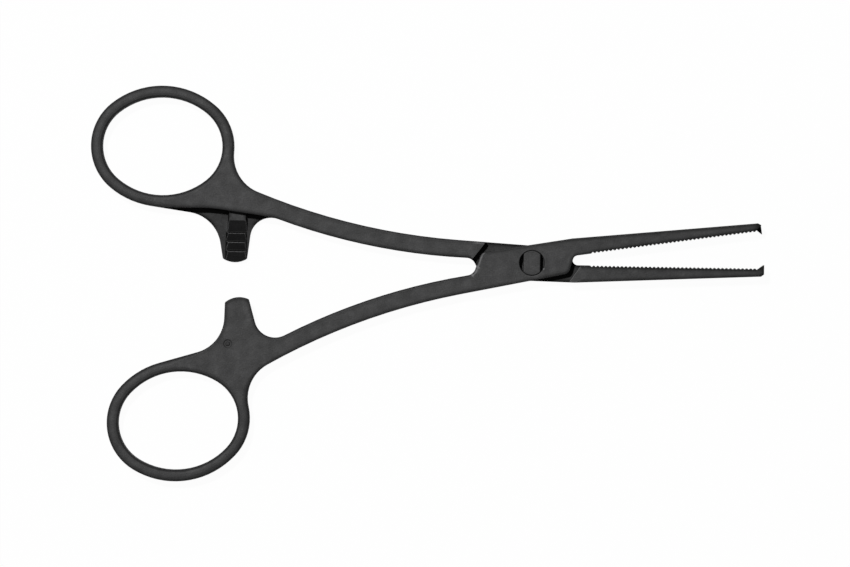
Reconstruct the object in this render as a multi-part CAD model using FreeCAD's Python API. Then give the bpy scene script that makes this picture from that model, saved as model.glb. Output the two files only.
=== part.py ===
import FreeCAD, Part
import math
import os

# Locking artery forceps moulded in plastic: two halves that cross in a lap joint and turn on a bayonet stud.
# Millimetres. The pivot axis is +Z through the origin, and the halves lie on z = 0.
# Each half is drawn in its closed place, handle towards -X and jaw towards +X, then turned half the opening.
# The front half is the one whose lap plate lies on top. The rear half is the same moulding rolled over about X.

# Thickness and joint
thickness = 5.0
lap_gap = 0.1
rest_opening_deg = 8.63

# Finger ring: an oval hole of four arcs and a wall round it
ring_centre_x = -77.13
ring_centre_y = -22.8
ring_hole_half_length = 12.45
ring_hole_half_width = 10.16
ring_end_radius = 8.9
ring_wall = 2.42
ring_rim_round = 0.9
ring_rim_bands = 3

# Arm, between two large arcs, each level at the x and y given here
arm_inner_radius = 130.2
arm_inner_level = (-9.7, -0.75)
arm_outer_radius = 134.6
arm_outer_level = (-7.7, -4.27)
arm_end_x = -66.0

# Handle plate and ratchet arm
plate_edge_slope = 0.142
ratchet_left_x = -64.3
ratchet_right_x = -59.2
ratchet_left_lean = 0.176
ratchet_right_lean = -0.125
ratchet_tip_y = 1.0
ratchet_shoulder_y = 0.25
ratchet_corner_round = 0.45
plate_left_round = 7.6
plate_right_round = 4.3
ring_arm_round = 8.0

# Lap plate of the joint
lap_left_x = -12.34
lap_left_lean = 0.5
lap_left_top_y = 3.52
lap_left_corner_round = 1.5
crotch_round = 2.0
lap_bottom_slope = 0.058
lap_right_x = 8.85
lap_right_lean = 0.42
lap_right_corner_round = 1.4
jaw_crotch_round = 1.1

# Step where the full thickness begins, as two lines across the half
step_left = ((-10.02, -3.63), (-12.19, -0.79))
step_right = ((7.98, 3.55), (9.86, 0.79))
step_line_margin = 8.0

# Jaw
jaw_shoulder = (9.0, 3.93)
jaw_length = 48.2
jaw_tip_half_width = 1.97
jaw_tip_chamfer = (0.6, 0.45)

# Cross teeth of the jaws and hook teeth of the tips
tooth_pitch = 0.836
tooth_depth = 0.34
tooth_crest_y = 0.30
tooth_root_y = tooth_crest_y + tooth_depth
teeth_start_x = 12.0
front_hook_base = 1.05
rear_hook_base = 1.45
hook_reach = 0.43
hook_side_gap = 0.12
hook_notch_depth = 1.1

# Edges of the outline: on the front soft at the handle and crisp at the jaw, on the back one small bevel
jaw_edge_round = 0.25
crotch_edge_round = 0.7
arm_edge_round = 0.55
ratchet_edge_round = 0.3
ring_edge_round = 1.1
back_bevel = 0.4

# Recess that the ratchet arm lies in: the foot of its wall, and the web that is left under it
recess_wall = ((-76.5, -10.2), (-66.6, -10.15), (-54.0, -8.5))
recess_wall_bend = 25.0
recess_foot_round = 0.5
web_at_wall = 1.8
web_at_tip = 1.2

# Ratchet teeth: heights are above the plane of the web's flat face
ratchet_pitch = 1.9
ratchet_first_crest_y = -1.24
ratchet_crests = 3
ratchet_engagement = 0.3
ratchet_tooth_height = 1.1
ratchet_face_run = 0.3
ridge_foot = (-63.85, -59.25)
ridge_crest = (-63.15, -59.7)
ridge_round = 0.3
stop_block_height = 3.25
stop_block_end_y = -7.75
stop_block_foot = (-63.4, -59.3)
stop_block_top = (-63.1, -59.5)

# Bayonet stud and its hole
stud_diameter = 3.7
head_diameter = 5.1
head_thickness = 1.5
head_flats = 3.5
head_corner_round = 0.4
head_edge_bevel = 0.12
head_sink = 0.03
stud_running_gap = 0.07
head_end_gap = 0.05
hole_rim_chamfer = 0.12

# Ejector pin's mark on the front half
mark_place = (-64.8, -8.3)
mark_diameter = 1.6
mark_core_diameter = 0.9
mark_depth = 0.15

# How far cutting shapes run past what they cut, and how near an edge must lie to count as at a level
overshoot = 1.0
near = 1e-6

V = FreeCAD.Vector
Z = V(0, 0, 1)


def point(pair, z=0.0):
    return V(pair[0], pair[1], z)


def line(a, b):
    return Part.LineSegment(a, b).toShape()


def arc(a, middle, b):
    return Part.Arc(a, middle, b).toShape()


def polygon(points):
    return Part.Face(Part.makePolygon([point(p) for p in points] + [point(points[0])]))


def prism(face, z_low, z_high):
    solid = face.extrude(V(0, 0, z_high - z_low))
    solid.translate(V(0, 0, z_low))
    return solid


def rounded_corner(before, corner, after, radius):
    """Arc that rounds a corner between two straight lines, with its two ends."""
    back = (before - corner).normalize()
    ahead = (after - corner).normalize()
    half_angle = back.getAngle(ahead) / 2
    run = radius / math.tan(half_angle)
    middle = (back + ahead).normalize()
    inner = corner + middle * (radius / math.sin(half_angle) - radius)
    start, end = corner + back * run, corner + ahead * run
    return start, arc(start, inner, end), end


def arm_y(x, level, radius):
    """Height of one of the arm's edge arcs at x."""
    return level[1] - radius + math.sqrt(radius ** 2 - (x - level[0]) ** 2)


def inner_y(x):
    return arm_y(x, arm_inner_level, arm_inner_radius)


def outer_y(x):
    return arm_y(x, arm_outer_level, arm_outer_radius)


def ratchet_left(y):
    return ratchet_left_x + ratchet_left_lean * y


def ratchet_right(y):
    return ratchet_right_x + ratchet_right_lean * y


def ring_side():
    """Radius of the oval hole's two long arcs, and how far their centres lie from the middle."""
    a, b, r = ring_hole_half_length, ring_hole_half_width, ring_end_radius
    radius = (a ** 2 - 2 * a * r + b ** 2) / (2 * (b - r))
    return radius, radius - b


def ring_lean():
    """Slope angle at which the oval's long arcs pass into its end arcs."""
    return math.atan2(ring_hole_half_length - ring_end_radius, ring_side()[1])


def ring_face(grow):
    """Ring's hole grown by a wall: four arcs that run into each other smoothly."""
    radius, drop = ring_side()
    lean = ring_lean()
    x = (radius + grow) * math.sin(lean)
    y = (radius + grow) * math.cos(lean) - drop
    end, side = ring_hole_half_length + grow, ring_hole_half_width + grow
    stops = ((-x, y), (0, side), (x, y), (end, 0), (x, -y), (0, -side), (-x, -y), (-end, 0), (-x, y))
    at = [V(ring_centre_x + p[0], ring_centre_y + p[1], 0) for p in stops]
    return Part.Face(Part.Wire([arc(at[k], at[k + 1], at[k + 2]) for k in (0, 2, 4, 6)]))


def cross(a, slope, x, lean):
    """Where a line through a with a slope meets the line that leans from x at y = 0."""
    y = (a.y + slope * (x - a.x)) / (1 - slope * lean)
    return V(x + lean * y, y, 0)


def plan_points():
    """Corners of the half's outline before they are rounded."""
    at = {}
    angle = math.atan(lap_bottom_slope)
    x = arm_outer_level[0] - arm_outer_radius * math.sin(angle)
    at["arm_foot"] = V(x, outer_y(x), 0)
    at["crotch"] = V(lap_left_x, inner_y(lap_left_x), 0)
    at["lap_top"] = V(lap_left_x + lap_left_lean * (lap_left_top_y - at["crotch"].y), lap_left_top_y, 0)
    at["jaw_crotch"] = V(lap_right_x, tooth_crest_y, 0)
    at["lap_low"] = cross(at["arm_foot"], lap_bottom_slope, lap_right_x - lap_right_lean * tooth_crest_y,
                          lap_right_lean)
    # The plate's upper edge leaves the ring as its tangent, from a long arc or from an end arc.
    radius, drop = ring_side()
    centre = V(ring_centre_x, ring_centre_y - drop, 0)
    angle = math.atan(plate_edge_slope)
    if angle > ring_lean():
        radius = ring_end_radius
        centre = V(ring_centre_x - ring_hole_half_length + ring_end_radius, ring_centre_y, 0)
    at["plate_start"] = centre + V(-math.sin(angle), math.cos(angle), 0) * (radius + ring_wall)
    at["plate_left"] = cross(at["plate_start"], plate_edge_slope, ratchet_left_x, ratchet_left_lean)
    y = inner_y(ratchet_right_x)
    at["plate_right"] = V(ratchet_right(y), y, 0)
    at["tip_left"] = V(ratchet_left(ratchet_shoulder_y), ratchet_shoulder_y, 0)
    at["tip_right"] = V(ratchet_right(ratchet_shoulder_y), ratchet_shoulder_y, 0)
    x = ring_centre_x + ring_hole_half_length + ring_wall / 4
    at["ring_arm"] = V(x, outer_y(x), 0)
    return at


def blade_face(at):
    """Arm, lap plate and jaw in plan: two arcs, the lap's ends and the jaw's taper down to the teeth's roots."""
    shoulder = point(jaw_shoulder)
    tip_out = V(jaw_length - jaw_tip_chamfer[0], jaw_tip_half_width, 0)
    tip_side = V(jaw_length, jaw_tip_half_width - jaw_tip_chamfer[1], 0)
    tip_in = V(jaw_length, tooth_root_y, 0)
    row_root = V(teeth_start_x, tooth_root_y, 0)
    row_crest = V(teeth_start_x, tooth_crest_y, 0)
    high = V(arm_end_x, inner_y(arm_end_x), 0)
    low = V(arm_end_x, outer_y(arm_end_x), 0)
    inner_x = (arm_end_x + lap_left_x) / 2
    outer_x = (arm_end_x + at["arm_foot"].x) / 2
    return Part.Face(Part.Wire([
        arc(high, V(inner_x, inner_y(inner_x), 0), at["crotch"]),
        line(at["crotch"], at["lap_top"]),
        line(at["lap_top"], shoulder),
        line(shoulder, tip_out),
        line(tip_out, tip_side),
        line(tip_side, tip_in),
        line(tip_in, row_root),
        line(row_root, row_crest),
        line(row_crest, at["jaw_crotch"]),
        line(at["jaw_crotch"], at["lap_low"]),
        line(at["lap_low"], at["arm_foot"]),
        arc(at["arm_foot"], V(outer_x, outer_y(outer_x), 0), low),
        line(low, high),
    ]))


def plate_face(at):
    """Handle plate with its ratchet arm in plan."""
    left, right = at["tip_left"], at["tip_right"]
    foot = V(at["plate_right"].x, (at["plate_right"].y + outer_y(at["plate_right"].x)) / 2, 0)
    ring_middle = V(ring_centre_x, ring_centre_y, 0)
    return Part.Face(Part.Wire([
        line(at["plate_start"], at["plate_left"]),
        line(at["plate_left"], left),
        arc(left, V((left.x + right.x) / 2, ratchet_tip_y, 0), right),
        line(right, at["plate_right"]),
        line(at["plate_right"], foot),
        line(foot, ring_middle),
        line(ring_middle, at["plate_start"]),
    ]))


def runs_along(edge, direction):
    return edge.tangentAt(edge.FirstParameter).cross(direction).Length < near


def round_upright(solid, place, radius):
    """Rounds the upright edge of a plain prism that stands nearest to a place."""
    upright = [e for e in solid.Edges if runs_along(e, Z)]
    edge = min(upright, key=lambda e: math.hypot(e.CenterOfMass.x - place.x, e.CenterOfMass.y - place.y))
    return solid.makeFillet(radius, [edge])


def edge_round_at(place, at):
    """Radius of the outline's upper and lower edges at one of its corners."""
    if place.x > at["lap_top"].x:
        return jaw_edge_round
    if place.x > at["crotch"].x and place.y > at["crotch"].y:
        return crotch_edge_round
    if place.x > at["crotch"].x:
        return jaw_edge_round
    if place.y > at["plate_left"].y / 2 and place.x < arm_end_x + ring_wall * 4:
        return ratchet_edge_round
    if place.x < at["plate_start"].x + ring_wall or place.y < at["ring_arm"].y - ring_wall:
        return ring_edge_round
    return arm_edge_round


def outline_roundings(solid, z, at):
    """Radii of the outline's edges at one level, in the direction that the first of them runs."""
    face = [f for f in solid.Faces if abs(f.CenterOfMass.z - z) < near][0]
    edges, corners = face.OuterWire.OrderedEdges, face.OuterWire.OrderedVertexes
    rows = []
    for number, edge in enumerate(solid.Edges, 1):
        found = [k for k, other in enumerate(edges) if other.isSame(edge)]
        middle = edge.CenterOfMass
        blunt_end = middle.x > jaw_length - jaw_tip_chamfer[0]
        toothed = middle.x > teeth_start_x - tooth_depth and middle.y < tooth_root_y + tooth_depth
        if found and not blunt_end and not toothed:
            first, second = corners[found[0]].Point, corners[(found[0] + 1) % len(corners)].Point
            forward = edge.valueAt(edge.FirstParameter).isEqual(first, near)
            rows.append((number, edge_round_at(first, at), edge_round_at(second, at), forward))
    along = rows[0][3]
    return [(number, a, b) if along else (number, b, a) for number, a, b, forward in rows]


def finish_edges(solid, at, front_z):
    """Bevels the back edge, and rounds the front edge with a radius that changes smoothly along the outline."""
    back = [solid.Edges[row[0] - 1] for row in outline_roundings(solid, thickness - front_z, at)]
    doc = FreeCAD.newDocument("rounding")
    base = doc.addObject("Part::Feature", "base")
    base.Shape = solid.makeChamfer(back_bevel, back)
    rounded = doc.addObject("Part::Fillet", "rounded")
    rounded.Base = base
    rounded.Edges = outline_roundings(base.Shape, front_z, at)
    doc.recompute()
    return rounded.Shape.Solids[0]


def outline_prism(at):
    """Ring, plate, arm, lap and jaw as one plain prism with the outline's soft corners."""
    solids = [prism(f, 0, thickness) for f in (ring_face(ring_wall), blade_face(at), plate_face(at))]
    body = solids[0].fuse(solids[1:]).removeSplitter().Solids[0]
    for name, radius in (("ring_arm", ring_arm_round), ("plate_right", plate_right_round),
                         ("plate_left", plate_left_round), ("tip_right", ratchet_corner_round),
                         ("tip_left", ratchet_corner_round), ("crotch", crotch_round),
                         ("lap_top", lap_left_corner_round), ("lap_low", lap_right_corner_round),
                         ("jaw_crotch", jaw_crotch_round)):
        body = round_upright(body, at[name], radius)
    return body


def ring_hole():
    """Hole through the ring, with both rims rounded off in a few narrow bands."""
    profile = []
    for k in range(ring_rim_bands + 1):
        turn = math.pi / 2 * k / ring_rim_bands
        profile.append((ring_rim_round * (1 - math.sin(turn)), ring_rim_round * (1 - math.cos(turn))))
    profile += [(grow, thickness - z) for grow, z in reversed(profile)]
    wires = []
    for grow, z in profile:
        wire = ring_face(grow).OuterWire
        wire.translate(V(0, 0, z))
        wires.append(wire)
    return Part.makeLoft(wires, True, True)


def lap_plan():
    """What the lap lacks in thickness, in plan: the two step lines run on and join round it."""
    corners = []
    for first, second in (step_left, step_right):
        along = (point(second) - point(first)).normalize() * step_line_margin
        corners += [point(second) + along, point(first) - along]
    return Part.Face(Part.makePolygon(corners + corners[:1]))


def recess_space():
    """Space behind the ratchet arm, down to a web that thins towards the tip."""
    start, bend, end = [point(p) for p in recess_wall]
    bend_in, curve, bend_out = rounded_corner(start, bend, end, recess_wall_bend)
    top = ratchet_tip_y + overshoot
    plan = Part.Face(Part.Wire([line(start, bend_in), curve, line(bend_out, end), line(end, V(end.x, top, 0)),
                                line(V(end.x, top, 0), V(start.x, top, 0)), line(V(start.x, top, 0), start)]))
    space = prism(plan, -overshoot, thickness)
    profile = [V(start.x - overshoot, y, z) for y, z in (
        (start.y, thickness - web_at_wall), (ratchet_tip_y, thickness - web_at_tip),
        (top, thickness - web_at_tip), (top, -2 * overshoot), (start.y - overshoot, -2 * overshoot),
        (start.y - overshoot, thickness - web_at_wall))]
    below = Part.Face(Part.makePolygon(profile + profile[:1])).extrude(V(end.x - start.x + 2 * overshoot, 0, 0))
    space = space.common(below)
    foot = [e for e in space.Edges if e.CenterOfMass.z > thickness - 1.2 * web_at_wall
            and e.CenterOfMass.y < end.y + recess_foot_round and e.Length > recess_foot_round * 4]
    return space.makeFillet(recess_foot_round, foot)


def bar(profile, x_low, x_high):
    """Bar along X from a profile of y and height above the front face's plane, rising to the back."""
    points = [V(x_low, y, thickness - height) for y, height in profile]
    return Part.Face(Part.makePolygon(points + points[:1])).extrude(V(x_high - x_low, 0, 0))


def drafted_ridge(height, foot, top, y_low, y_high):
    """Bar along Y with sloping flanks and rounded long edges, from inside the web up to a height."""
    sink = web_at_tip / 2
    section = [V(x, y_low, thickness - h) for x, h in (
        (foot[0], sink), (foot[0], web_at_tip), (top[0], height), (top[1], height), (foot[1], web_at_tip),
        (foot[1], sink))]
    ridge = Part.Face(Part.makePolygon(section + section[:1])).extrude(V(0, y_high - y_low, 0))
    edges = [e for e in ridge.Edges if abs(e.CenterOfMass.z - thickness + height) < near
             and runs_along(e, V(0, 1, 0))]
    return ridge.makeFillet(ridge_round, edges)


def ratchet_ridge():
    """Stop block and saw teeth, steep towards the handle and sloping towards the tip."""
    crest = thickness / 2 + ratchet_engagement
    root = crest - ratchet_tooth_height
    slope = ratchet_tooth_height / (ratchet_pitch - ratchet_face_run)
    sink = web_at_tip / 2
    wall_y = recess_wall[0][1]
    tip_y = ratchet_tip_y + ridge_round
    first = ratchet_first_crest_y - ratchet_pitch * (ratchet_crests - 1)
    teeth = [(wall_y, sink), (wall_y, root)]
    for k in range(ratchet_crests):
        y = first + ratchet_pitch * k
        teeth += [(y - ratchet_face_run, root), (y, crest)]
    teeth += [(tip_y, crest - slope * (tip_y - ratchet_first_crest_y)), (tip_y, sink)]
    block_end = first - ratchet_face_run
    block = [(wall_y, sink), (wall_y, stop_block_height), (stop_block_end_y, stop_block_height),
             (block_end, root), (block_end, sink)]
    saw = bar(teeth, *ridge_foot).common(drafted_ridge(crest, ridge_foot, ridge_crest, wall_y, tip_y))
    stop = bar(block, *stop_block_foot).common(
        drafted_ridge(stop_block_height, stop_block_foot, stop_block_top, wall_y, tip_y))
    return saw.fuse(stop)


def common_half(front_z):
    """What both mouldings share, drawn as the front half, with its soft edges at the level given."""
    at = plan_points()
    plain = outline_prism(at)
    body = finish_edges(plain, at, front_z).cut(ring_hole())
    body = body.cut(prism(lap_plan(), -overshoot, thickness / 2 + lap_gap / 2))
    body = body.cut(recess_space())
    return body.fuse(ratchet_ridge().common(plain)).removeSplitter().Solids[0]


def finish_jaw(body, hook_base, hook_levels, notch_levels):
    """Adds the cross teeth, and the hooks at the tip between notches that take the other jaw's hooks."""
    root_x = jaw_length - hook_base
    count = int((root_x - teeth_start_x) / tooth_pitch - 0.5)
    first_x = root_x - count * tooth_pitch
    inside_y = tooth_root_y + tooth_depth
    # A plain land fills what is left between the even edge and the first whole tooth.
    row = [(teeth_start_x, inside_y), (teeth_start_x, tooth_crest_y), (first_x - tooth_pitch / 2, tooth_crest_y),
           (first_x, tooth_root_y)]
    for k in range(count):
        x = first_x + k * tooth_pitch
        row += [(x + tooth_pitch / 2, tooth_crest_y), (x + tooth_pitch, tooth_root_y)]
    row.append((root_x, inside_y))
    body = body.fuse(prism(polygon(row), 0, thickness))
    hook = polygon(((root_x, inside_y), (root_x, tooth_root_y), (jaw_length, -hook_reach), (jaw_length, inside_y)))
    body = body.fuse([prism(hook, low, high) for low, high in hook_levels])
    notch = polygon(((root_x, tooth_root_y), (jaw_length, tooth_crest_y + hook_notch_depth),
                     (jaw_length + overshoot, tooth_crest_y + hook_notch_depth),
                     (jaw_length + overshoot, tooth_root_y - tooth_depth), (root_x, tooth_root_y - tooth_depth)))
    return body.cut([prism(notch, low, high) for low, high in notch_levels]).removeSplitter()


def disc(diameter, z_low, z_high):
    return Part.makeCylinder(diameter / 2, z_high - z_low, V(0, 0, z_low))


def between_flats(solid, size_x, size_y):
    """What of a solid round the axis lies within two widths."""
    box = Part.makeBox(size_x, size_y, 2 * thickness, V(-size_x / 2, -size_y / 2, -thickness / 2))
    return solid.common(box)


def front_half(half):
    """Adds the middle hook, the stepped hole and the ejector pin's mark."""
    third = thickness / 3
    side = hook_side_gap / 2
    front = finish_jaw(half, front_hook_base, ((third + side, 2 * third - side),),
                       ((-overshoot, third + side), (2 * third - side, thickness + overshoot)))
    shoulder_z = thickness - head_sink - head_thickness - head_end_gap
    bore = head_diameter + 2 * stud_running_gap
    slot_width = stud_diameter + 2 * stud_running_gap
    front = front.cut(disc(bore, shoulder_z, thickness + overshoot))
    front = front.cut(between_flats(disc(bore, 0.0, shoulder_z), 2 * bore, slot_width))
    rim = [e for e in front.Edges if (e.CenterOfMass - V(0, 0, thickness)).Length < near]
    front = front.makeChamfer(hole_rim_chamfer, rim)
    foot = point(mark_place, thickness - mark_depth)
    mark = Part.makeCylinder(mark_diameter / 2, overshoot, foot)
    mark = mark.cut(Part.makeCylinder(mark_core_diameter / 2, overshoot, foot))
    return front.cut(mark)


def rear_half(half):
    """Adds the two outer hooks, rolls the moulding over and sets the stud on its lap plate."""
    third = thickness / 3
    side = hook_side_gap / 2
    rear = finish_jaw(half, rear_hook_base, ((0.0, third - side), (2 * third + side, thickness)),
                      ((third - side, 2 * third + side),))
    rear.rotate(V(0, 0, thickness / 2), V(1, 0, 0), 180)
    head_top = thickness - head_sink
    head_foot = head_top - head_thickness
    head = between_flats(disc(head_diameter, head_foot, head_top), head_flats, 2 * head_diameter)
    corners = [e for e in head.Edges if runs_along(e, Z)]
    head = head.makeFillet(head_corner_round, corners)
    head = head.makeChamfer(head_edge_bevel, [e for e in head.Edges if abs(e.CenterOfMass.z - head_top) < near])
    shank = disc(stud_diameter, thickness / 2 - lap_gap, head_foot)
    return rear.fuse([shank, head]).removeSplitter()


front = front_half(common_half(thickness))
rear = rear_half(common_half(0.0))
os.makedirs("parts", exist_ok=True)
for name, solid, turn in (("front_half", front, 1), ("rear_half", rear, -1)):
    placed = solid.Solids[0]
    placed.rotate(V(0, 0, 0), Z, turn * rest_opening_deg / 2)
    print(name, "solids", len(solid.Solids), "valid", placed.isValid(), "volume", round(placed.Volume, 1))
    placed.exportStep("parts/%s.step" % name)
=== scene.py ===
import math

import bmesh
import bpy
from mathutils import Euler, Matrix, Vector

# Locking artery forceps moulded in black plastic, lying flat and seen from straight above. Metres.
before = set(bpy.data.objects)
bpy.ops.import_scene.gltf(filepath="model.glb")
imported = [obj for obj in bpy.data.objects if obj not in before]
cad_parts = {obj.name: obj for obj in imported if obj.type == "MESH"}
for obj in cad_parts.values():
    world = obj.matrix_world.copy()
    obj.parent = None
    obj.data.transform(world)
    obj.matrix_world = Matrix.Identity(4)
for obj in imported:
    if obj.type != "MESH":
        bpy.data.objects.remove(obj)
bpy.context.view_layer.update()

MM = 0.001

# Viewpoint of the photograph
PHOTO_ROLL = math.radians(-3.243)
PHOTO_CENTRE = Vector((-22.19 * MM, -4.27 * MM))
PHOTO_WIDTH = 176.5 * MM
PHOTO_DISTANCE = 1500.0 * MM
SUBJECT_HEIGHT = 4.0 * MM
SENSOR_WIDTH = 36.0
CLIP_START = 10.0 * MM
CLIP_END = 20.0

# Light
KEY_ELEVATION = math.radians(67.0)
KEY_BEARING = math.radians(128.0)
KEY_DISTANCE = 1.5
KEY_SIZE = 0.1
KEY_POWER = 21.6
KEY_TARGET = (-0.02, 0.0, 0.0)
ROOM_LEVEL = 0.1

# Floor: its colour under the lamps, and how much of what is seen of it is plain white
FLOOR_REACH = 3.0
PAPER_COLOUR = (0.8, 0.8, 0.8, 1.0)
WHITE = (1.0, 1.0, 1.0, 1.0)
WHITE_SHARE = 0.97

# Colours of the plastic, its painted shade, and its pale edges of painted highlights and wear
DARK_MELT = (0.017, 0.017, 0.0173, 1.0)
PALE_MELT = (0.043, 0.043, 0.0437, 1.0)
WISP_COLOUR = (0.07, 0.07, 0.071, 1.0)
PAINTED_SHADE_COLOUR = (0.003, 0.003, 0.003, 1.0)
HIGHLIGHT_AND_WEAR_COLOUR = (0.14, 0.14, 0.142, 1.0)

# How much each effect counts in the plastic
GRAIN_TONE = 0.5
CLOUD_TONE = 0.9
WISP_STRENGTH = 0.45
# Pale edges everywhere: painted highlights with a trace of wear
HIGHLIGHT_AND_WEAR_ALL_OVER = 0.08
# Painted shade: how dark slopes and rims, sunk faces and the jaws are made
SLOPE_SHADE_STRENGTH = 0.75
RECESS_SHADE_STRENGTH = 0.4
JAW_SHADE_STRENGTH = 0.12
JAW_SHADE_START = 6.0 * MM
JAW_SHADE_END = 16.0 * MM

# Sheen of the plastic
ROUGHNESS_DARK = 0.68
ROUGHNESS_PALE = 0.6
GLOSS_PLAIN = 0.5
GLOSS_DULL = 0.1
PLASTIC_IOR = 1.38
GRAIN_STRENGTH = 0.75
GRAIN_DEPTH = 0.03 * MM

# Masks of edges and corners
SOFT_SAMPLES = 6
CORNER_REACH = 0.6 * MM
RIM_SAMPLES = 8

VECTOR, FLOAT = "NodeSocketVector", "NodeSocketFloat"


class Shade:
    """Short way to place and join shader nodes in one tree."""

    def __init__(self, tree):
        self.tree = tree

    def put(self, kind, values=None, **settings):
        node = self.tree.nodes.new(kind)
        for name, value in settings.items():
            setattr(node, name, value)
        for name, value in (values or {}).items():
            socket = node.inputs[name]
            if isinstance(value, bpy.types.NodeSocket):
                self.tree.links.new(value, socket)
            else:
                socket.default_value = value
        return node

    def use(self, key, **values):
        """Outputs of one of the shared effects."""
        return self.put("ShaderNodeGroup", values, node_tree=EFFECTS[key]).outputs

    def give(self, **results):
        """Close an effect with its results."""
        self.put("NodeGroupOutput", results)
        return self.tree

    def math(self, operation, first, second=0.0, clamp=False):
        node = self.put("ShaderNodeMath", {0: first, 1: second}, operation=operation, use_clamp=clamp)
        return node.outputs[0]

    def add(self, first, second):
        return self.math("ADD", first, second)

    def times(self, first, second):
        return self.math("MULTIPLY", first, second)

    def most(self, first, second):
        return self.math("MAXIMUM", first, second)

    def dot(self, first, second):
        node = self.put("ShaderNodeVectorMath", {0: first, 1: second}, operation="DOT_PRODUCT")
        return node.outputs["Value"]

    def distance(self, first, second):
        node = self.put("ShaderNodeVectorMath", {0: first, 1: second}, operation="DISTANCE")
        return node.outputs["Value"]

    def axis(self, vector, letter):
        return self.put("ShaderNodeSeparateXYZ", {0: vector}).outputs[letter]

    def remap(self, value, low, high, to_low=0.0, to_high=1.0):
        values = {"Value": value, "From Min": low, "From Max": high, "To Min": to_low, "To Max": to_high}
        return self.put("ShaderNodeMapRange", values, clamp=True).outputs["Result"]

    def blend(self, factor, first, second):
        """Colour between two; the Mix node has its colour sockets at places 6 and 7, its colour out at 2."""
        return self.put("ShaderNodeMix", {0: factor, 6: first, 7: second}, data_type="RGBA").outputs[2]

    def facing(self, normal):
        """How far a normal stands along the piece's own Z, from 0 on side walls to 1 on flats."""
        own = self.put("ShaderNodeVectorTransform", {0: normal}, vector_type="NORMAL",
                       convert_from="WORLD", convert_to="OBJECT").outputs[0]
        return self.math("ABSOLUTE", self.axis(own, "Z"))

    def noise(self, coordinates, scale, detail=2.0, roughness=0.5, distortion=0.0):
        values = {"Vector": coordinates, "Scale": scale, "Detail": detail, "Roughness": roughness,
                  "Distortion": distortion}
        return self.put("ShaderNodeTexNoise", values).outputs["Fac"]


def effect(name, inputs, outputs):
    """Empty node group with named sockets, as a Shade with the sockets that it is given."""
    tree = bpy.data.node_groups.new(name, "ShaderNodeTree")
    for label, kind, value in inputs:
        socket = tree.interface.new_socket(name=label, in_out="INPUT", socket_type=kind)
        if value is not None:
            socket.default_value = value
    for label, kind in outputs:
        tree.interface.new_socket(name=label, in_out="OUTPUT", socket_type=kind)
    shade = Shade(tree)
    return shade, shade.put("NodeGroupInput").outputs


def spark_grain_effect():
    """Fine pitted texture that a spark-eroded mould leaves on every face."""
    shade, given = effect(
        "spark grain",
        [("Vector", VECTOR, None), ("Pit Scale", FLOAT, 4200.0), ("Bulge Scale", FLOAT, 1300.0)],
        [("Height", FLOAT), ("Tone", FLOAT)])
    pits = shade.put("ShaderNodeTexVoronoi", {"Vector": given["Vector"], "Scale": given["Pit Scale"]},
                     feature="SMOOTH_F1").outputs["Distance"]
    fine = shade.noise(given["Vector"], given["Pit Scale"], detail=3.0, roughness=0.65)
    bulge = shade.noise(given["Vector"], given["Bulge Scale"], detail=2.0)
    pit_share, fine_share, bulge_share = 0.5, 0.6, 1.6
    height = shade.add(shade.times(pits, pit_share),
                       shade.add(shade.times(fine, fine_share), shade.times(bulge, bulge_share)))
    return shade.give(Height=height, Tone=shade.remap(fine, low=0.3, high=0.7))


def flow_mottle_effect():
    """Soft cloudy patches and pale wisps that the melt's flow leaves in the plastic."""
    shade, given = effect(
        "flow mottle",
        [("Vector", VECTOR, None), ("Cloud Scale", FLOAT, 420.0), ("Wisp Scale", FLOAT, 300.0)],
        [("Clouds", FLOAT), ("Wisps", FLOAT)])
    clouds = shade.noise(given["Vector"], given["Cloud Scale"], detail=4.0, roughness=0.6)
    bent = shade.noise(given["Vector"], given["Wisp Scale"], detail=3.0, distortion=2.2)
    off_middle = shade.math("ABSOLUTE", shade.math("SUBTRACT", bent, 0.5))
    crests = shade.remap(off_middle, low=0.035, high=0.0)
    cloudy_places = shade.remap(clouds, low=0.5, high=0.68)
    return shade.give(Clouds=clouds, Wisps=shade.times(crests, cloudy_places))


def edge_highlight_and_wear_effect():
    """Mask of the outer edges that are painted paler: painted highlights with a trace of rubbed wear, broken
    up along their length.
    """
    shade, given = effect(
        "edge highlight and wear",
        [("Vector", VECTOR, None), ("Place", VECTOR, None), ("Width", FLOAT, 0.28 * MM),
         ("Brow Height", FLOAT, 4.2 * MM), ("Patchiness", FLOAT, 700.0)],
        [("Mask", FLOAT), ("Normal", VECTOR)])
    soft = shade.put("ShaderNodeBevel", {"Radius": given["Width"]}, samples=SOFT_SAMPLES).outputs["Normal"]
    flat = shade.put("ShaderNodeNewGeometry").outputs["Normal"]
    sharp = shade.remap(shade.dot(soft, flat), low=0.99, high=0.8)
    # The brow is the part of a rounding between the flat on top and the wall, which gets a painted highlight
    lean = shade.facing(soft)
    off_flat = shade.remap(lean, low=0.99, high=0.93)
    off_wall = shade.remap(lean, low=0.62, high=0.8)
    on_top = shade.math("GREATER_THAN", shade.axis(given["Place"], "Z"), given["Brow Height"])
    brow = shade.times(shade.times(off_flat, off_wall), on_top)
    corner = shade.put("ShaderNodeAmbientOcclusion", {"Distance": CORNER_REACH}, samples=SOFT_SAMPLES,
                       only_local=True)
    open_side = shade.remap(corner.outputs["AO"], low=0.7, high=0.95)
    patch = shade.remap(shade.noise(given["Vector"], given["Patchiness"], detail=3.0),
                        low=0.35, high=0.62, to_low=0.6)
    mask = shade.times(shade.times(shade.most(sharp, brow), open_side), patch)
    return shade.give(Mask=mask, Normal=soft)


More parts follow.
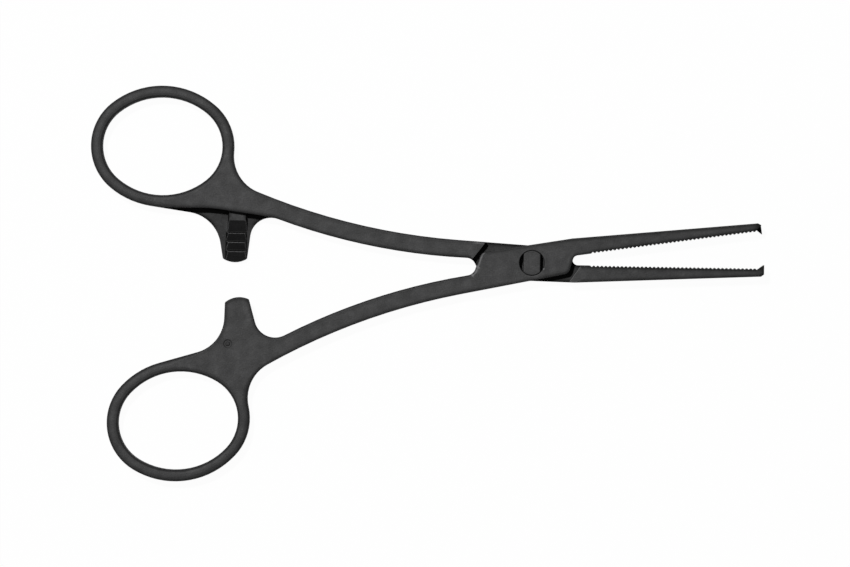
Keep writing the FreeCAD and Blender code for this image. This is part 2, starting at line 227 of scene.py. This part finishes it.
def painted_shade_masks_effect():
    """Masks for painted shade: of the sunk faces between two heights, of slopes, and of outline rims."""
    shade, given = effect(
        "painted shade masks",
        [("Vector", VECTOR, None), ("Low", FLOAT, 0.6 * MM), ("High", FLOAT, 2.9 * MM),
         ("Rim Width", FLOAT, 1.0 * MM)],
        [("Core", FLOAT), ("Slope", FLOAT), ("Rim", FLOAT)])
    height = shade.axis(given["Vector"], "Z")
    above = shade.math("GREATER_THAN", height, given["Low"])
    below = shade.math("LESS_THAN", height, given["High"])
    lean = shade.facing(shade.put("ShaderNodeNewGeometry").outputs["Normal"])
    off_wall = shade.remap(lean, low=0.2, high=0.5)
    recess = shade.times(off_wall, shade.times(above, below))
    slope = shade.remap(lean, low=0.985, high=0.6)
    inner = shade.put("ShaderNodeAmbientOcclusion", {"Distance": given["Rim Width"]}, samples=RIM_SAMPLES,
                      inside=True, only_local=True)
    rim_shade = shade.remap(inner.outputs["AO"], low=0.95, high=0.6)
    return shade.give(Core=recess, Slope=slope, Rim=rim_shade)


def pale_spot_effect():
    """Pale spot round a place, with broken edges; used for scuffs and for a painted highlight."""
    shade, given = effect(
        "pale_spot",
        [("Vector", VECTOR, None), ("Place", VECTOR, (0.0, 0.0, 0.0)), ("Reach", FLOAT, 0.5 * MM),
         ("Break-up", FLOAT, 2500.0)],
        [("Mask", FLOAT)])
    share = shade.math("DIVIDE", shade.distance(given["Vector"], given["Place"]), given["Reach"])
    breaks = shade.noise(given["Vector"], given["Break-up"], detail=3.0, roughness=0.7)
    break_depth = 1.4
    ragged = shade.add(share, shade.times(breaks, break_depth))
    return shade.give(Mask=shade.remap(ragged, low=1.45, high=0.95))


EFFECTS = {
    "grain": spark_grain_effect(),
    "mottle": flow_mottle_effect(),
    "edge_highlight_and_wear": edge_highlight_and_wear_effect(),
    "shade_masks": painted_shade_masks_effect(),
    "pale_spot": pale_spot_effect(),
}


def moulded_plastic(name, shift, recess_low, recess_high, highlight_places, pale_spots):
    """Black plastic with the mould's grain moved by shift, and painted shade with a duller sheen between two
    heights.
    """
    material = bpy.data.materials.new(name)
    material.use_nodes = True
    material.node_tree.nodes.clear()
    shade = Shade(material.node_tree)
    place = shade.put("ShaderNodeTexCoord").outputs["Object"]
    shifted = shade.put("ShaderNodeMapping", {"Vector": place, "Location": shift}).outputs["Vector"]
    grain = shade.use("grain", Vector=shifted)
    mottle = shade.use("mottle", Vector=shifted)
    edge_highlight_and_wear = shade.use("edge_highlight_and_wear", Vector=shifted, Place=place)
    shade_masks = shade.use("shade_masks", Vector=place, Low=recess_low, High=recess_high)

    # Pale edges: painted highlights with a trace of wear on all edges, more at the highlight places, where
    # the painted rim shade is left off, and the pale spots
    highlight_and_wear_level = HIGHLIGHT_AND_WEAR_ALL_OVER
    rim_shade_off = 0.0
    for spot, reach, strength in highlight_places:
        near = shade.remap(shade.distance(place, spot), low=reach, high=0.8 * reach)
        highlight_and_wear_level = shade.most(highlight_and_wear_level, shade.times(near, strength))
        rim_shade_off = shade.most(rim_shade_off, near)
    highlight_and_wear_mask = shade.times(edge_highlight_and_wear["Mask"], highlight_and_wear_level)
    for spot, reach in pale_spots:
        highlight_and_wear_mask = shade.most(highlight_and_wear_mask, shade.use("pale_spot", Vector=place, Place=spot, Reach=reach)["Mask"])

    tone = shade.add(shade.times(grain["Tone"], GRAIN_TONE), shade.times(mottle["Clouds"], CLOUD_TONE))
    spread = shade.remap(tone, low=0.4, high=1.0)
    melt = shade.blend(spread, DARK_MELT, PALE_MELT)
    wisped = shade.blend(shade.times(mottle["Wisps"], WISP_STRENGTH), melt, WISP_COLOUR)

    # Painted shade, with a duller sheen: darker slopes and rims, darker faces between the two heights, and
    # darker jaws
    rim_shade = shade.times(shade_masks["Rim"], shade.math("SUBTRACT", 1.0, rim_shade_off))
    slope_and_rim_shade = shade.times(shade.most(rim_shade, shade_masks["Slope"]), SLOPE_SHADE_STRENGTH)
    jaw = shade.remap(shade.axis(place, "X"), low=JAW_SHADE_START, high=JAW_SHADE_END, to_high=JAW_SHADE_STRENGTH)
    recess_and_jaw_shade = shade.most(shade.times(shade_masks["Core"], RECESS_SHADE_STRENGTH), jaw)
    shade_and_dullness = shade.math("ADD", recess_and_jaw_shade, slope_and_rim_shade, clamp=True)
    shaded_colour = shade.blend(shade_and_dullness, wisped, PAINTED_SHADE_COLOUR)

    # The base colour carries the painted shade and the pale edges of painted highlights; the sheen is duller
    # where the shade is painted
    bump = shade.put("ShaderNodeBump", {
        "Strength": GRAIN_STRENGTH, "Distance": GRAIN_DEPTH, "Height": grain["Height"],
        "Normal": edge_highlight_and_wear["Normal"]})
    surface = shade.put("ShaderNodeBsdfPrincipled", {
        "Base Color": shade.blend(highlight_and_wear_mask, shaded_colour, HIGHLIGHT_AND_WEAR_COLOUR),
        "Roughness": shade.remap(spread, low=0.0, high=1.0, to_low=ROUGHNESS_DARK, to_high=ROUGHNESS_PALE),
        "IOR": PLASTIC_IOR,
        "Specular IOR Level": shade.remap(shade_and_dullness, low=0.0, high=1.0, to_low=GLOSS_PLAIN, to_high=GLOSS_DULL),
        "Normal": bump.outputs["Normal"]})
    shade.put("ShaderNodeOutputMaterial", {"Surface": surface.outputs["BSDF"]})
    return material


def dress(node, material):
    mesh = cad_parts[node].data
    mesh.materials.clear()
    mesh.materials.append(material)


def millimetres(x, y, z):
    return (x * MM, y * MM, z * MM)


# Places whose edges get a painted highlight: the middle, the reach and the strength
FRONT_HIGHLIGHTS = (
    (millimetres(-11.2, 0.4, 5.0), 3.0 * MM, 1.0),
    (millimetres(0.0, 0.0, 5.0), 3.6 * MM, 0.25),
)
REAR_HIGHLIGHTS = (
    (millimetres(-61.2, 7.5, 2.9), 6.0 * MM, 1.0),
    (millimetres(-10.9, 3.1, 5.0), 2.2 * MM, 0.7),
    (millimetres(8.5, -2.7, 5.0), 2.2 * MM, 1.0),
    (millimetres(0.0, 0.0, 5.0), 3.6 * MM, 0.25),
)

# Pale spots, the middle and the reach: on the front half a painted highlight on the hole's rim and pale
# marks along the crotch edge; on the rear half scuffs on the ratchet teeth and a pale mark below the crotch
FRONT_PALE_SPOTS = (
    (millimetres(2.33, -1.38, 4.95), 0.35 * MM),
    (millimetres(-11.3, -0.2, 4.7), 0.7 * MM),
    (millimetres(-11.7, -1.0, 4.7), 0.75 * MM),
    (millimetres(-12.3, -1.9, 4.7), 0.7 * MM),
)
REAR_SCUFFS = (
    (millimetres(-63.63, 9.22, 2.0), 0.7 * MM),
    (millimetres(-58.42, 9.34, 2.0), 0.6 * MM),
    (millimetres(-11.5, -0.2, 2.45), 0.6 * MM),
)

dress("front_half", moulded_plastic(
    "front half, black moulded plastic", millimetres(13.0, 21.0, 0.0), recess_low=1.8 * MM, recess_high=4.4 * MM,
    highlight_places=FRONT_HIGHLIGHTS, pale_spots=FRONT_PALE_SPOTS))
dress("rear_half", moulded_plastic(
    "rear half, black moulded plastic", millimetres(51.0, 7.0, 30.0), recess_low=0.6 * MM, recess_high=3.2 * MM,
    highlight_places=REAR_HIGHLIGHTS, pale_spots=REAR_SCUFFS))


def lay_floor():
    """White sheet that the forceps lie on, plain white where it is seen but for a trace of shadow."""
    bm = bmesh.new()
    bmesh.ops.create_grid(bm, x_segments=1, y_segments=1, size=FLOOR_REACH)
    mesh = bpy.data.meshes.new("floor")
    bm.to_mesh(mesh)
    bm.free()
    floor = bpy.data.objects.new("floor", mesh)
    bpy.context.scene.collection.objects.link(floor)
    material = bpy.data.materials.new("white paper sheet")
    material.use_nodes = True
    material.node_tree.nodes.clear()
    shade = Shade(material.node_tree)
    path = shade.put("ShaderNodeLightPath").outputs
    seen = shade.most(path["Is Camera Ray"], shade.most(path["Is Glossy Ray"], path["Is Transmission Ray"]))
    paper = shade.put("ShaderNodeBsdfDiffuse", {"Color": PAPER_COLOUR}).outputs[0]
    white = shade.put("ShaderNodeEmission", {"Color": WHITE, "Strength": 1.0}).outputs[0]
    sheet = shade.put("ShaderNodeMixShader", {0: shade.times(seen, WHITE_SHARE), 1: paper, 2: white})
    shade.put("ShaderNodeOutputMaterial", {"Surface": sheet.outputs[0]})
    mesh.materials.append(material)


def hang_key_light():
    """Small round studio lamp, high up, that throws the short shadows of the photograph."""
    light = bpy.data.lights.new("key light", "AREA")
    light.shape = "DISK"
    light.size = KEY_SIZE
    light.energy = KEY_POWER
    lamp = bpy.data.objects.new("key light", light)
    bearing = KEY_BEARING + PHOTO_ROLL
    level = math.cos(KEY_ELEVATION) * KEY_DISTANCE
    height = math.sin(KEY_ELEVATION) * KEY_DISTANCE
    lamp.location = (level * math.cos(bearing), level * math.sin(bearing), height)
    bpy.context.scene.collection.objects.link(lamp)
    lamp.rotation_euler = (Vector(KEY_TARGET) - lamp.location).to_track_quat("-Z", "Y").to_euler()


def fill_room():
    """Even white light from all round."""
    world = bpy.data.worlds.new("studio")
    world.use_nodes = True
    background = world.node_tree.nodes["Background"]
    background.inputs["Color"].default_value = WHITE
    background.inputs["Strength"].default_value = ROOM_LEVEL
    bpy.context.scene.world = world


def place_camera():
    """Camera straight above, turned as the photograph's was."""
    lens = bpy.data.cameras.new("photo camera")
    lens.sensor_width = SENSOR_WIDTH
    lens.lens = SENSOR_WIDTH * PHOTO_DISTANCE / PHOTO_WIDTH
    lens.clip_start = CLIP_START
    lens.clip_end = CLIP_END
    camera = bpy.data.objects.new("photo camera", lens)
    centre = PHOTO_CENTRE.copy()
    centre.rotate(Euler((0.0, 0.0, PHOTO_ROLL)).to_matrix().to_2x2())
    camera.location = (centre.x, centre.y, SUBJECT_HEIGHT + PHOTO_DISTANCE)
    camera.rotation_euler = (0.0, 0.0, PHOTO_ROLL)
    bpy.context.scene.collection.objects.link(camera)
    bpy.context.scene.camera = camera


lay_floor()
hang_key_light()
fill_room()
place_camera()
bpy.context.scene.view_settings.view_transform = "Standard"
